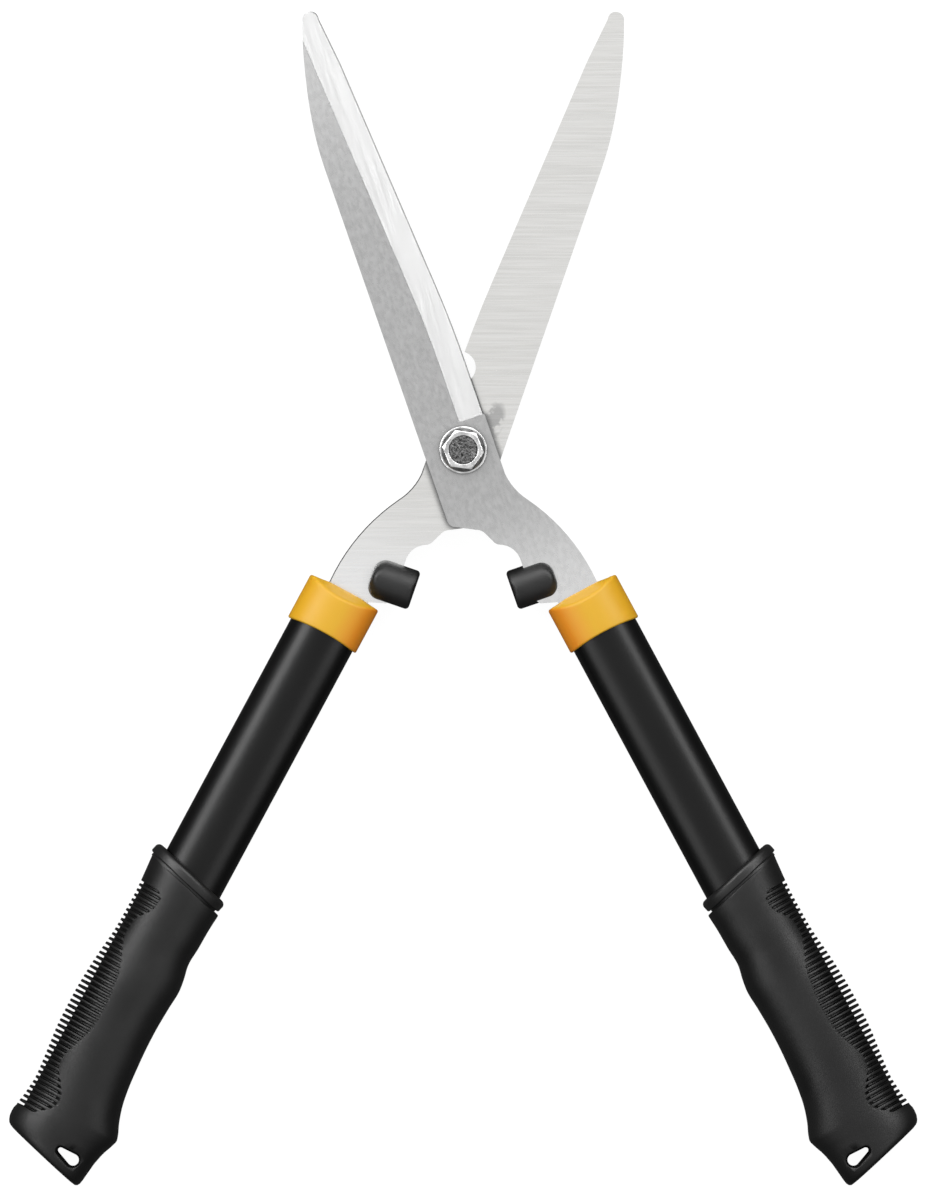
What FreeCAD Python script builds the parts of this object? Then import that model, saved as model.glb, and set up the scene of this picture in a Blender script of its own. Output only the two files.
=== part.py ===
import FreeCAD, Part
import math
import os
import Sketcher
from FreeCAD import Placement, Rotation, Vector

# Hedge shears: two straight blades on one pivot bolt, each with a tang pinned into an oval tube
# handle, a rubber bumper beside the tang, a collar over the mouth of the tube and a ribbed grip.
#
# Row frame, in millimetres: the shears lie flat and half open. X is to the right, Y towards the
# blade tips and Z up along the pivot bolt. The origin is under the middle of the outline.
#
# Both halves come from one drawing, made closed: pivot at the origin, blade along +Y, cutting edge
# and handle on the +X side, inner face of the blade just above Z = 0. The upper half is that
# drawing turned by the opening angle. The lower half is turned over about Y first.
#
# The handle has a frame of its own: Y runs up the middle of the tube towards the blade, X points
# away from the other handle, and Y = 0 is level with the pivot. Sizes that end in _down are
# measured down the handle, so they are at minus that Y.

SIZES = (
    ("open_angle", 19.0, "each half turned from closed, degrees"),
    ("handle_angle", 9.27, "tube against blade, degrees"),
    ("handle_offset", 16.4, "middle of the tube from the pivot, square to the tube"),
    ("pivot_forward", 66.2, "pivot from the middle of the outline, along Y"),
    ("half_depth", 15.0, "half of the depth over the grip lips"),
    ("blade_thickness", 3.6, "blade and tang"),
    ("shear_gap", 0.2, "between the two blades at the bolt"),
    ("edge_thickness", 0.6, "flat left along the cutting edge"),
    ("bevel_width", 11.2, "ground face along the cutting edge"),
    ("bevel_start", 12.2, "foot of the ground face above the pivot"),
    ("notch_radius", 7.1, "branch notch in the lower blade"),
    ("running_clearance", 0.05, "radial, upper blade on the bolt"),
    ("bolt_diameter", 12.5, "pivot bolt shank"),
    ("bolt_end", 0.25, "bolt showing above the nut"),
    ("bolt_chamfer", 0.6, "end of the pivot bolt"),
    ("head_diameter", 24.0, "domed bolt head"),
    ("head_height", 4.2, "domed bolt head"),
    ("head_rim", 1.0, "straight rim under the dome of the bolt head"),
    ("washer_gap", 0.1, "running gap between upper blade and flat washer"),
    ("washer_diameter", 21.0, "flat washer"),
    ("washer_thickness", 1.0, "flat washer"),
    ("spring_diameter", 19.4, "conical spring washer"),
    ("spring_height", 1.8, "conical spring washer"),
    ("spring_sheet", 1.0, "conical spring washer, thickness at the bolt"),
    ("spring_land", 1.6, "conical spring washer, flat under the nut"),
    ("spring_foot", 0.8, "conical spring washer, flat on the washer"),
    ("spring_rim", 0.5, "conical spring washer, height of the outer edge"),
    ("nut_flats", 16.2, "hexagon across flats"),
    ("nut_height", 6.2, "hexagon"),
    ("nut_turn", 52.5, "hexagon corner from the X axis, degrees"),
    ("bumper_reach", 0.15, "bumper face from the centre line when closed"),
    ("bumper_width", 20.15, "bumper across the tool"),
    ("bumper_top_down", 57.0, "bumper below the pivot"),
    ("bumper_length", 17.9, "bumper along the tool"),
    ("bumper_depth", 16.0, "bumper through the tool"),
    ("bumper_round", 3.4, "barrel rounding of the bumper"),
    ("bumper_inner_corner", 1.7, "corners at the bumper's face"),
    ("bumper_outer_corner", 5.5, "corners at the tang"),
    ("tube_width", 31.0, "oval tube outside"),
    ("tube_depth", 20.0, "oval tube outside"),
    ("tube_wall", 1.2, "oval tube"),
    ("tube_top_down", 85.0, "mouth of the tube"),
    ("tube_bottom_down", 345.0, "foot of the tube"),
    ("stem_width", 14.0, "tang inside the tube"),
    ("stem_bottom_down", 139.0, "end of the tang"),
    ("stem_corner", 3.0, "corners cut off the tang's end"),
    ("slot_bottom_down", 140.0, "end of the slot for the tang in the inserts"),
    ("insert_bottom_down", 150.0, "end of the inserts around the tang"),
    ("pin_diameter", 5.0, "cross pin of the tang"),
    ("pin_down", 94.0, "cross pin of the tang"),
    ("pin_length", 19.6, "cross pin of the tang"),
    ("collar_width", 34.1, "collar outside"),
    ("collar_depth", 23.1, "collar outside"),
    ("collar_top_down", 79.4, "collar"),
    ("collar_bottom_down", 101.9, "collar"),
    ("collar_round", 0.9, "collar outer edges"),
    ("grip_tilt", 14.6, "lip and butt of the grip against square, degrees"),
    ("lip_centre", 0.6, "middle of the lip's top, across the handle"),
    ("lip_down", 221.9, "middle of the lip's top, down the handle"),
    ("lip_width", 40.3, "lip, along its slope"),
    ("lip_thickness", 4.9, "lip"),
    ("lip_round", 1.7, "lip top edge"),
    ("neck_width", 37.6, "groove under the lip, along its slope"),
    ("neck_depth", 26.0, "groove under the lip"),
    ("neck_height", 1.3, "groove under the lip"),
    ("sleeve_width", 33.8, "hard core around the tube"),
    ("sleeve_depth", 22.6, "hard core around the tube"),
    ("sleeve_bottom_down", 348.0, "hard core around the tube"),
    ("sleeve_top", 1.0, "hard core, below the top of the lip"),
    ("butt_down", 362.9, "butt of the grip on the handle's middle line"),
    ("butt_round", 2.4, "butt edges of the grip"),
    ("groove_floor", 17.5, "bottom of the finger grooves, from the tube's middle"),
    ("groove_width", 1.25, "finger groove"),
    ("groove_pitch", 2.475, "finger grooves"),
    ("groove_count", 46, "finger grooves"),
    ("groove_down", 236.05, "first finger groove"),
    ("hole_big", 5.3, "hanging hole, wide end"),
    ("hole_small", 2.7, "hanging hole, narrow end"),
)

# Grip cover, one row per section: distance down the handle, left edge, right edge, depth.
GRIP_SECTIONS = (
    (208.0, -19.2, 21.0, 28.2),
    (220.0, -18.9, 20.4, 28.2),
    (233.0, -18.5, 19.3, 28.2),
    (248.0, -17.8, 18.8, 27.8),
    (259.0, -17.4, 19.0, 27.8),
    (270.0, -19.1, 20.1, 28.6),
    (284.0, -18.5, 21.2, 29.4),
    (298.0, -18.4, 21.6, 29.8),
    (312.0, -19.3, 21.0, 29.4),
    (325.0, -20.7, 19.7, 28.6),
    (335.0, -23.4, 19.0, 28.0),
    (342.0, -25.9, 19.6, 27.4),
    (348.5, -24.1, 20.7, 26.8),
    (356.0, -21.8, 20.2, 26.0),
    (366.0, -20.6, 17.0, 25.0),
    (378.0, -19.8, 13.0, 24.4),
)

# Cutting edge, closed: straight up from the bevel's foot, a long bend, then straight to the tip.
EDGE_X = 13.6
EDGE_BEND_Y = 36.0
EDGE_BEND_RADIUS = 500.0
EDGE_LEAN = 4.29
SIDE_X = 14.1
# Inner edge of the tang where the bumper grips it, from the top of the bumper to the shoulder.
STUB = ((8.2, -55.0), (8.2, -59.5), (4.5, -61.0), (4.5, -71.0), (8.0, -72.5), (10.2, -75.35))
# Where the tang enters the collar, in the handle frame: left edge, right edge, left shoulder.
TANG_LEFT = -11.4
TANG_RIGHT = 8.2
# The cutting edge runs straight up to here and then turns in towards the round tip.
EDGE_END_Y = 180.0
BEVEL_END_Y = 216.0
NOTCH_CENTRE = (13.4, 34.2)
# Wide and narrow end of the hanging hole, in the handle frame.
HOLE_WIDE = (-13.0, -358.75)
HOLE_NARROW = (-6.35, -357.55)
# The collar's top slopes away from the tang on both faces: height of the ridge, drop and outer limit.
COLLAR_RIDGE = 4.4
COLLAR_DROP = 4.8
COLLAR_SLOPE_END = 12.7
COLLAR_HOLLOW = 1.5
SHORT_EDGE = 4.0
# The bolt head's dome passes this point: share of the radius, height above the top of the head.
DOME_REACH = 0.62
DOME_DROP = 0.9
# Tools that cut something away run this far past its faces.
CLEAR = 15.0
SLOT_LAP = 1.0

doc = FreeCAD.newDocument("HedgeShears")
sheet = doc.addObject("Spreadsheet::Sheet", "Sizes")
for row, (alias, number, note) in enumerate(SIZES, start=1):
    sheet.set(f"A{row}", alias)
    sheet.set(f"B{row}", str(number))
    sheet.set(f"C{row}", note)
    sheet.setAlias(f"B{row}", alias)
doc.recompute()


def size(expression):
    """The number that an expression over the sheet's aliases comes to."""
    return float(sheet.evalExpression(expression))


def from_handle(x, y):
    """A point of the handle frame, in the closed drawing's frame."""
    lean = math.radians(size("Sizes.handle_angle"))
    across = x + size("Sizes.handle_offset")
    return (across * math.cos(lean) - y * math.sin(lean), across * math.sin(lean) + y * math.cos(lean))


# ---------------------------------------------------------------- sketch and feature helpers

def new_body(label, placement):
    body = doc.addObject("PartDesign::Body", label)
    body.Label = label
    body.Placement = placement
    return body


def new_sketch(body, plane, lift="0", tilt=None, base=None):
    """A sketch on one of the body's origin planes, lifted along that plane's normal."""
    sketch = body.newObject("Sketcher::SketchObject", f"{body.Name}_sketch")
    origin_plane = [item for item in body.Origin.OriginFeatures if item.Role == plane][0]
    sketch.AttachmentSupport = [(origin_plane, "")]
    sketch.MapMode = "FlatFace"
    if tilt is not None:
        sketch.AttachmentOffset = Placement(Vector(), Rotation(Vector(0, 1, 0), size(tilt)))
    if base is not None:
        sketch.setExpression(".AttachmentOffset.Base.x", base)
    sketch.setExpression(".AttachmentOffset.Base.z", lift)
    return sketch


def dimension(sketch, kind, *arguments, by):
    """A sketch dimension that follows an expression."""
    index = sketch.addConstraint(Sketcher.Constraint(kind, *arguments, size(by)))
    sketch.setExpression(f"Constraints[{index}]", by)


def draw_circle(sketch, x, y, diameter):
    index = sketch.addGeometry(Part.Circle(Vector(x, y, 0), Vector(0, 0, 1), size(diameter) / 2))
    sketch.addConstraint(Sketcher.Constraint("DistanceX", -1, 1, index, 3, x))
    sketch.addConstraint(Sketcher.Constraint("DistanceY", -1, 1, index, 3, y))
    dimension(sketch, "Diameter", index, by=diameter)


def draw_oval(sketch, width, depth, centre=0.0):
    """An ellipse with its long axis along the sketch's X axis."""
    middle = Vector(centre, 0, 0)
    index = sketch.addGeometry(Part.Ellipse(middle, size(width) / 2, size(depth) / 2))
    sketch.exposeInternalGeometry(index)
    sketch.addConstraint(Sketcher.Constraint("Horizontal", index + 1))
    sketch.addConstraint(Sketcher.Constraint("PointOnObject", index, 3, -1))
    sketch.addConstraint(Sketcher.Constraint("DistanceX", -1, 1, index, 3, centre))
    dimension(sketch, "Distance", index + 1, by=width)
    dimension(sketch, "Distance", index + 2, by=depth)


def draw_outline(sketch, start, *steps):
    """A closed outline. A step is ("line", to), ("arc", via, to) or ("curve", to, to, ...)."""
    here = Vector(*start, 0)
    for kind, *points in steps:
        points = [Vector(*point, 0) for point in points]
        if kind == "line":
            edge = Part.LineSegment(here, points[0])
        elif kind == "arc":
            edge = Part.Arc(here, points[0], points[1])
        else:
            edge = Part.BSplineCurve()
            edge.interpolate([here] + points)
        sketch.addGeometry(edge)
        here = points[-1]
    if here.distanceToPoint(Vector(*start, 0)) > 1e-6:
        sketch.addGeometry(Part.LineSegment(here, Vector(*start, 0)))


def draw_polygon(sketch, *corners):
    draw_outline(sketch, corners[0], *[("line", corner) for corner in corners[1:]])


def extrude(body, sketch, kind, length=None, both=False, back=False):
    """A Pad or Pocket by an expression, or through everything when no length is given."""
    feature = body.newObject(f"PartDesign::{kind}", f"{body.Name}_{kind.lower()}")
    feature.Profile = sketch
    feature.Reversed = back
    if both:
        feature.SideType = "Symmetric"
    if length is None:
        feature.Type = "ThroughAll"
    else:
        feature.setExpression("Length", length)
    return feature


def cut(body, sketch, length=None, both=False, back=False):
    """A Pocket that has to take material away."""
    doc.recompute()
    before = body.Shape.Volume
    pocket = extrude(body, sketch, "Pocket", length, both, back)
    doc.recompute()
    if body.Shape.Volume > before - 0.01:
        raise RuntimeError(f"{pocket.Name} removes nothing from {body.Label}")
    return pocket


def round_edges(body, radius, chosen, kind="Fillet"):
    """Fillet or chamfer the edges of the body's last feature that the test picks."""
    doc.recompute()
    tip = body.Tip
    names = [f"Edge{number}" for number, edge in enumerate(tip.Shape.Edges, start=1) if chosen(edge)]
    feature = body.newObject(f"PartDesign::{kind}", f"{body.Name}_{kind.lower()}")
    feature.Base = (tip, names)
    feature.setExpression("Radius" if kind == "Fillet" else "Size", radius)
    return feature


def revolve(body, sketch):
    """A full turn about the sketch's vertical axis."""
    feature = body.newObject("PartDesign::Revolution", f"{body.Name}_revolution")
    feature.Profile = sketch
    feature.ReferenceAxis = (sketch, ["V_Axis"])
    feature.Angle = 360
    return feature


# ---------------------------------------------------------------- placements

PIVOT = Vector(0, size("Sizes.pivot_forward"), size("Sizes.half_depth"))
OPEN_ANGLE = size("Sizes.open_angle")
IN_BLADE = {
    "upper": Placement(PIVOT, Rotation(Vector(0, 0, 1), OPEN_ANGLE)),
    "lower": Placement(
        PIVOT, Rotation(Vector(0, 0, 1), -OPEN_ANGLE).multiply(Rotation(Vector(0, 1, 0), 180))
    ),
}
HANDLE = Placement(Vector(*from_handle(0, 0), 0), Rotation(Vector(0, 0, 1), size("Sizes.handle_angle")))
IN_HANDLE = {half: placement.multiply(HANDLE) for half, placement in IN_BLADE.items()}
AT_PIVOT = Placement(PIVOT, Rotation())
# The bolt's square neck sits in the lower blade and is turned with it.
IN_LOWER_BLADE = Placement(PIVOT, Rotation(Vector(0, 0, 1), -OPEN_ANGLE))
parts = []


# ---------------------------------------------------------------- blade

def edge_bend_end():
    lean = math.radians(EDGE_LEAN)
    return (EDGE_X - EDGE_BEND_RADIUS * (1 - math.cos(lean)), EDGE_BEND_Y + EDGE_BEND_RADIUS * math.sin(lean))


def edge_bend_middle():
    half_lean = math.radians(EDGE_LEAN / 2)
    return (
        EDGE_X - EDGE_BEND_RADIUS * (1 - math.cos(half_lean)),
        EDGE_BEND_Y + EDGE_BEND_RADIUS * math.sin(half_lean),
    )


def edge_at(y):
    """Point of the straight stretch of the cutting edge, above its bend."""
    x, bend_y = edge_bend_end()
    return (x - (y - bend_y) * math.tan(math.radians(EDGE_LEAN)), y)


def make_blade(half):
    body = new_body(f"{half}_blade", IN_BLADE[half])
    tube_top = -size("Sizes.tube_top_down")
    stem = size("Sizes.stem_width / 2")
    stem_bottom = -size("Sizes.stem_bottom_down")
    corner = size("Sizes.stem_corner")
    outline = new_sketch(body, "XY_Plane", lift="Sizes.shear_gap / 2")
    draw_outline(
        outline,
        (EDGE_X, size("Sizes.bevel_start")),
        ("line", (EDGE_X, EDGE_BEND_Y)),
        ("arc", edge_bend_middle(), edge_bend_end()),
        ("line", edge_at(EDGE_END_Y)),
        ("line", (1.6, 201.5)),
        ("arc", (0.6, 204.9), (-1.4, 205.8)),
        ("line", (-2.4, 205.8)),
        ("arc", (-4.5, 204.8), (-5.7, 202.4)),
        ("curve", (-8.4, 194.0), (-12.0, 180.0), (-15.8, 160.0), (-17.4, 138.0)),
        ("line", (-16.9, -27.0)),
        ("arc", (-16.3, -29.6), (-14.2, -31.2)),
        ("line", (-6.2, -35.2)),
        ("arc", (-4.0, -36.5), (-2.7, -38.3)),
        ("line", (-0.6, -42.5)),
        ("arc", (0.4, -44.0), (2.0, -45.0)),
        ("arc", (6.9, -49.2), STUB[0]),
        *[("line", corner) for corner in STUB[1:]],
        ("line", from_handle(TANG_LEFT, -79.2)),
        ("line", from_handle(TANG_LEFT, tube_top)),
        ("line", from_handle(-stem, tube_top)),
        ("line", from_handle(-stem, stem_bottom + corner)),
        ("line", from_handle(corner - stem, stem_bottom)),
        ("line", from_handle(stem - corner, stem_bottom)),
        ("line", from_handle(stem, stem_bottom + corner)),
        ("line", from_handle(stem, tube_top)),
        ("line", from_handle(TANG_RIGHT, tube_top)),
        ("line", from_handle(TANG_RIGHT, -79.0)),
        ("arc", (31.0, -49.8), (20.0, -30.2)),
        ("arc", (15.9, -23.2), (SIDE_X, -16.0)),
        ("line", (SIDE_X, size("Sizes.bevel_start"))),
    )
    extrude(body, outline, "Pad", "Sizes.blade_thickness")
    grind_bevel(body)
    hole = new_sketch(body, "XY_Plane")
    if half == "upper":
        draw_circle(hole, 0, 0, "Sizes.bolt_diameter + 2 * Sizes.running_clearance")
    else:
        neck = size("Sizes.bolt_diameter / 2")
        draw_polygon(hole, (-neck, -neck), (neck, -neck), (neck, neck), (-neck, neck))
        draw_circle(hole, *NOTCH_CENTRE, "2 * Sizes.notch_radius")
    pin_hole = from_handle(0, -size("Sizes.pin_down"))
    draw_circle(hole, *pin_hole, "Sizes.pin_diameter")
    cut(body, hole, both=True)
    parts.append(body)


def grind_bevel(body):
    """The ground face: a wedge swept along the cutting edge and on past the tip."""
    top = size("Sizes.shear_gap / 2 + Sizes.blade_thickness")
    width = size("Sizes.bevel_width")
    slope = size("Sizes.blade_thickness - Sizes.edge_thickness") / width
    margin = 4.0
    wedge = new_sketch(body, "XZ_Plane", lift="-Sizes.bevel_start")
    draw_polygon(
        wedge,
        (EDGE_X - width, top),
        (EDGE_X + margin, top - slope * (width + margin)),
        (EDGE_X + margin, top + 1),
        (EDGE_X - width, top + 1),
    )
    path = new_sketch(body, "XY_Plane", lift="Sizes.shear_gap / 2 + Sizes.blade_thickness")
    corners = (EDGE_X, size("Sizes.bevel_start")), (EDGE_X, EDGE_BEND_Y)
    path.addGeometry(Part.LineSegment(Vector(*corners[0], 0), Vector(*corners[1], 0)))
    bend = [Vector(*point, 0) for point in (corners[1], edge_bend_middle(), edge_bend_end())]
    path.addGeometry(Part.Arc(*bend))
    path.addGeometry(Part.LineSegment(bend[2], Vector(*edge_at(BEVEL_END_Y), 0)))
    doc.recompute()
    before = body.Shape.Volume
    bevel = body.newObject("PartDesign::SubtractivePipe", f"{body.Name}_bevel")
    bevel.Profile = wedge
    bevel.Spine = path
    doc.recompute()
    if body.Shape.Volume > before - 1:
        raise RuntimeError("the bevel cuts nothing")


# ---------------------------------------------------------------- bumper and collar

def make_bumper(half):
    body = new_body(f"{half}_bumper", IN_BLADE[half])
    left = size("Sizes.bumper_reach")
    right = left + size("Sizes.bumper_width")
    top = -size("Sizes.bumper_top_down")
    bottom = top - size("Sizes.bumper_length")
    inner = size("Sizes.bumper_inner_corner")
    outer = size("Sizes.bumper_outer_corner")
    inner_cut = inner * (1 - math.sqrt(0.5))
    outer_cut = outer * (1 - math.sqrt(0.5))
    outline = new_sketch(body, "XY_Plane")
    draw_outline(
        outline,
        (left + inner, top),
        ("line", (right - outer, top)),
        ("arc", (right - outer_cut, top - outer_cut), (right, top - outer)),
        ("line", (right, bottom + outer)),
        ("arc", (right - outer_cut, bottom + outer_cut), (right - outer, bottom)),
        ("line", (left + inner, bottom)),
        ("arc", (left + inner_cut, bottom + inner_cut), (left, bottom + inner)),
        ("line", (left, top - inner)),
        ("arc", (left + inner_cut, top - inner_cut), (left + inner, top)),
    )
    extrude(body, outline, "Pad", "Sizes.bumper_depth", both=True)
    face = size("Sizes.bumper_depth / 2")
    round_edges(body, "Sizes.bumper_round", lambda edge: is_flat_at(edge, "z", face, either=True))
    slot = new_sketch(body, "XY_Plane", lift="Sizes.shear_gap / 2")
    beyond = right + CLEAR
    draw_polygon(
        slot,
        (STUB[0][0], top + CLEAR),
        *STUB[1:],
        (STUB[-1][0], bottom - CLEAR),
        (beyond, bottom - CLEAR),
        (beyond, top + CLEAR),
    )
    cut(body, slot, "Sizes.blade_thickness", back=True)
    parts.append(body)


def is_flat_at(edge, axis, level, either=False):
    """True for an edge that lies wholly at one level of one axis."""
    box = edge.BoundBox
    low, high = getattr(box, f"{axis.upper()}Min"), getattr(box, f"{axis.upper()}Max")
    if either:
        low, high = abs(low), abs(high)
    return abs(low - level) < 1e-4 and abs(high - level) < 1e-4


def make_collar(half):
    body = new_body(f"{half}_collar", IN_HANDLE[half])
    top = -size("Sizes.collar_top_down")
    bottom = -size("Sizes.collar_bottom_down")
    barrel = new_sketch(body, "XZ_Plane", lift="Sizes.collar_top_down")
    draw_oval(barrel, "Sizes.collar_width", "Sizes.collar_depth")
    extrude(body, barrel, "Pad", "Sizes.collar_bottom_down - Sizes.collar_top_down")
    for side in (1, -1):
        slope = new_sketch(body, "YZ_Plane")
        draw_polygon(
            slope,
            (top, side * COLLAR_RIDGE),
            (top - COLLAR_DROP, side * COLLAR_SLOPE_END),
            (top + CLEAR, side * COLLAR_SLOPE_END),
            (top + CLEAR, side * COLLAR_RIDGE),
        )
        cut(body, slope, both=True)
    hollow = new_sketch(body, "XY_Plane")
    half_width = size("Sizes.collar_width / 2")
    draw_outline(
        hollow,
        (-half_width, bottom),
        ("arc", (0, bottom + COLLAR_HOLLOW), (half_width, bottom)),
        ("line", (half_width, bottom - CLEAR)),
        ("line", (-half_width, bottom - CLEAR)),
    )
    cut(body, hollow, both=True)
    round_edges(body, "Sizes.collar_round", lambda edge: edge.Length > SHORT_EDGE)
    socket = new_sketch(body, "XZ_Plane", lift="Sizes.tube_top_down")
    draw_oval(socket, "Sizes.tube_width", "Sizes.tube_depth")
    cut(body, socket, back=True)
    slot = new_sketch(body, "XZ_Plane", lift=f"Sizes.collar_top_down - {CLEAR}")
    low = size("Sizes.shear_gap / 2")
    high = low + size("Sizes.blade_thickness")
    draw_polygon(slot, (TANG_LEFT, low), (TANG_RIGHT, low), (TANG_RIGHT, high), (TANG_LEFT, high))
    cut(body, slot, f"Sizes.tube_top_down - Sizes.collar_top_down + {CLEAR + SLOT_LAP}", back=True)
    parts.append(body)


# ---------------------------------------------------------------- tube, inserts and pin

def bore_for_pin(body):
    hole = new_sketch(body, "XY_Plane")
    draw_circle(hole, 0, -size("Sizes.pin_down"), "Sizes.pin_diameter")
    cut(body, hole, both=True)


def make_tube(half):
    body = new_body(f"{half}_tube", IN_HANDLE[half])
    section = new_sketch(body, "XZ_Plane", lift="Sizes.tube_top_down")
    draw_oval(section, "Sizes.tube_width", "Sizes.tube_depth")
    draw_oval(section, "Sizes.tube_width - 2 * Sizes.tube_wall", "Sizes.tube_depth - 2 * Sizes.tube_wall")
    extrude(body, section, "Pad", "Sizes.tube_bottom_down - Sizes.tube_top_down")
    bore_for_pin(body)
    parts.append(body)


def make_insert(half, face, side):
    """One of the two moulded halves that fill the tube around the tang, split on the tang's middle."""
    body = new_body(f"{half}_tang_insert_{face}", IN_HANDLE[half])
    block = new_sketch(body, "XZ_Plane", lift="Sizes.tube_top_down")
    draw_oval(block, "Sizes.tube_width - 2 * Sizes.tube_wall", "Sizes.tube_depth - 2 * Sizes.tube_wall")
    extrude(body, block, "Pad", "Sizes.insert_bottom_down - Sizes.tube_top_down")
    low = size("Sizes.shear_gap / 2")
    high = low + size("Sizes.blade_thickness")
    middle = (low + high) / 2
    stem = size("Sizes.stem_width / 2")
    wide = size("Sizes.tube_width")
    far = middle - side * wide
    away = new_sketch(body, "XZ_Plane", lift="Sizes.tube_top_down")
    draw_polygon(away, (-wide, middle), (wide, middle), (wide, far), (-wide, far))
    cut(body, away, both=True)
    slot = new_sketch(body, "XZ_Plane", lift="Sizes.tube_top_down")
    draw_polygon(slot, (-stem, low), (stem, low), (stem, high), (-stem, high))
    cut(body, slot, "Sizes.slot_bottom_down - Sizes.tube_top_down", back=True)
    bore_for_pin(body)
    parts.append(body)


def make_pin(half):
    body = new_body(f"{half}_tang_pin", IN_HANDLE[half])
    section = new_sketch(body, "XY_Plane")
    draw_circle(section, 0, -size("Sizes.pin_down"), "Sizes.pin_diameter")
    extrude(body, section, "Pad", "Sizes.pin_length", both=True)
    parts.append(body)


# ---------------------------------------------------------------- grip

def slope_cut(body, x, y, side):
    """Cut everything on one side (1 above, -1 below) of a line through a point at the grip's tilt."""
    rise = math.tan(math.radians(size("Sizes.grip_tilt")))
    reach = size("Sizes.lip_width")
    far = y + side * 3 * reach
    sketch = new_sketch(body, "XY_Plane")
    left, right = (x - reach, y - reach * rise), (x + reach, y + reach * rise)
    draw_polygon(sketch, left, right, (right[0], far), (left[0], far))
    cut(body, sketch, both=True)


def lip_point(depth):
    """Middle of the lip at a depth below its top face, measured square to the lip."""
    tilt = math.radians(size("Sizes.grip_tilt"))
    x = size("Sizes.lip_centre") + depth * math.sin(tilt)
    return (x, -size("Sizes.lip_down") - depth * math.cos(tilt))


def make_grip_core(half):
    body = new_body(f"{half}_grip_core", IN_HANDLE[half])
    sleeve = new_sketch(body, "XZ_Plane", lift=f"Sizes.lip_down - {CLEAR}")
    draw_oval(sleeve, "Sizes.sleeve_width", "Sizes.sleeve_depth")
    extrude(body, sleeve, "Pad", f"Sizes.sleeve_bottom_down - Sizes.lip_down + {CLEAR}")
    slope_cut(body, *lip_point(size("Sizes.sleeve_top")), 1)
    for width, depth, height in (
        ("Sizes.lip_width", "2 * Sizes.half_depth", "Sizes.lip_thickness"),
        ("Sizes.neck_width", "Sizes.neck_depth", "Sizes.lip_thickness + Sizes.neck_height"),
    ):
        disc = new_sketch(body, "XZ_Plane", "Sizes.lip_down", "Sizes.grip_tilt", "Sizes.lip_centre")
        draw_oval(disc, width, depth)
        extrude(body, disc, "Pad", height)
    round_edges(body, "Sizes.lip_round", is_lip_top)
    bore = new_sketch(body, "XZ_Plane", lift=f"Sizes.lip_down - {CLEAR}")
    draw_oval(bore, "Sizes.tube_width", "Sizes.tube_depth")
    cut(body, bore, f"Sizes.tube_bottom_down - Sizes.lip_down + {CLEAR}", back=True)
    parts.append(body)


def is_lip_top(edge):
    """The outer edge of the lip's top face: a long edge with its middle on that face's centre."""
    centre = edge.BoundBox.Center
    x, y = lip_point(0)
    centred = abs(centre.x - x) < 0.2 and abs(centre.y - y) < 0.2
    return centred and edge.Length > 2 * size("Sizes.lip_width")


def make_grip_cover(half):
    body = new_body(f"{half}_grip_cover", IN_HANDLE[half])
    sections = []
    for down, left, right, depth in GRIP_SECTIONS:
        sketch = new_sketch(body, "XZ_Plane", lift=str(down))
        draw_oval(sketch, str(right - left), str(depth), (left + right) / 2)
        sections.append(sketch)
    loft = body.newObject("PartDesign::AdditiveLoft", f"{body.Name}_loft")
    loft.Profile = sections[0]
    loft.Sections = sections[1:]
    doc.recompute()
    slope_cut(body, *lip_point(size("Sizes.lip_thickness + Sizes.neck_height")), 1)
    slope_cut(body, 0, -size("Sizes.butt_down"), -1)
    round_edges(body, "Sizes.butt_round", is_butt_rim)
    bore = new_sketch(body, "XZ_Plane", lift=f"Sizes.lip_down - {CLEAR}")
    draw_oval(bore, "Sizes.sleeve_width", "Sizes.sleeve_depth")
    cut(body, bore, f"Sizes.sleeve_bottom_down - Sizes.lip_down + {CLEAR}", back=True)
    cut_hanging_hole(body)
    cut_finger_grooves(body)
    parts.append(body)


def is_butt_rim(edge):
    """The rim of the flat butt: a long edge beyond the end of the hard core."""
    beyond = edge.BoundBox.YMax < CLEAR - size("Sizes.sleeve_bottom_down")
    return beyond and edge.Length > size("Sizes.sleeve_depth")


def cut_hanging_hole(body):
    """A teardrop through the butt: two round ends joined by their common tangents."""
    wide, narrow = size("Sizes.hole_big / 2"), size("Sizes.hole_small / 2")
    dx, dy = HOLE_NARROW[0] - HOLE_WIDE[0], HOLE_NARROW[1] - HOLE_WIDE[1]
    span = math.hypot(dx, dy)
    along = math.atan2(dy, dx)
    swing = math.acos((wide - narrow) / span)

    def on(centre, radius, angle):
        return (centre[0] + radius * math.cos(angle), centre[1] + radius * math.sin(angle))

    sketch = new_sketch(body, "XY_Plane")
    draw_outline(
        sketch,
        on(HOLE_WIDE, wide, along + swing),
        ("arc", on(HOLE_WIDE, wide, along + math.pi), on(HOLE_WIDE, wide, along - swing)),
        ("line", on(HOLE_NARROW, narrow, along - swing)),
        ("arc", on(HOLE_NARROW, narrow, along), on(HOLE_NARROW, narrow, along + swing)),
    )
    cut(body, sketch, both=True)


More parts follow.
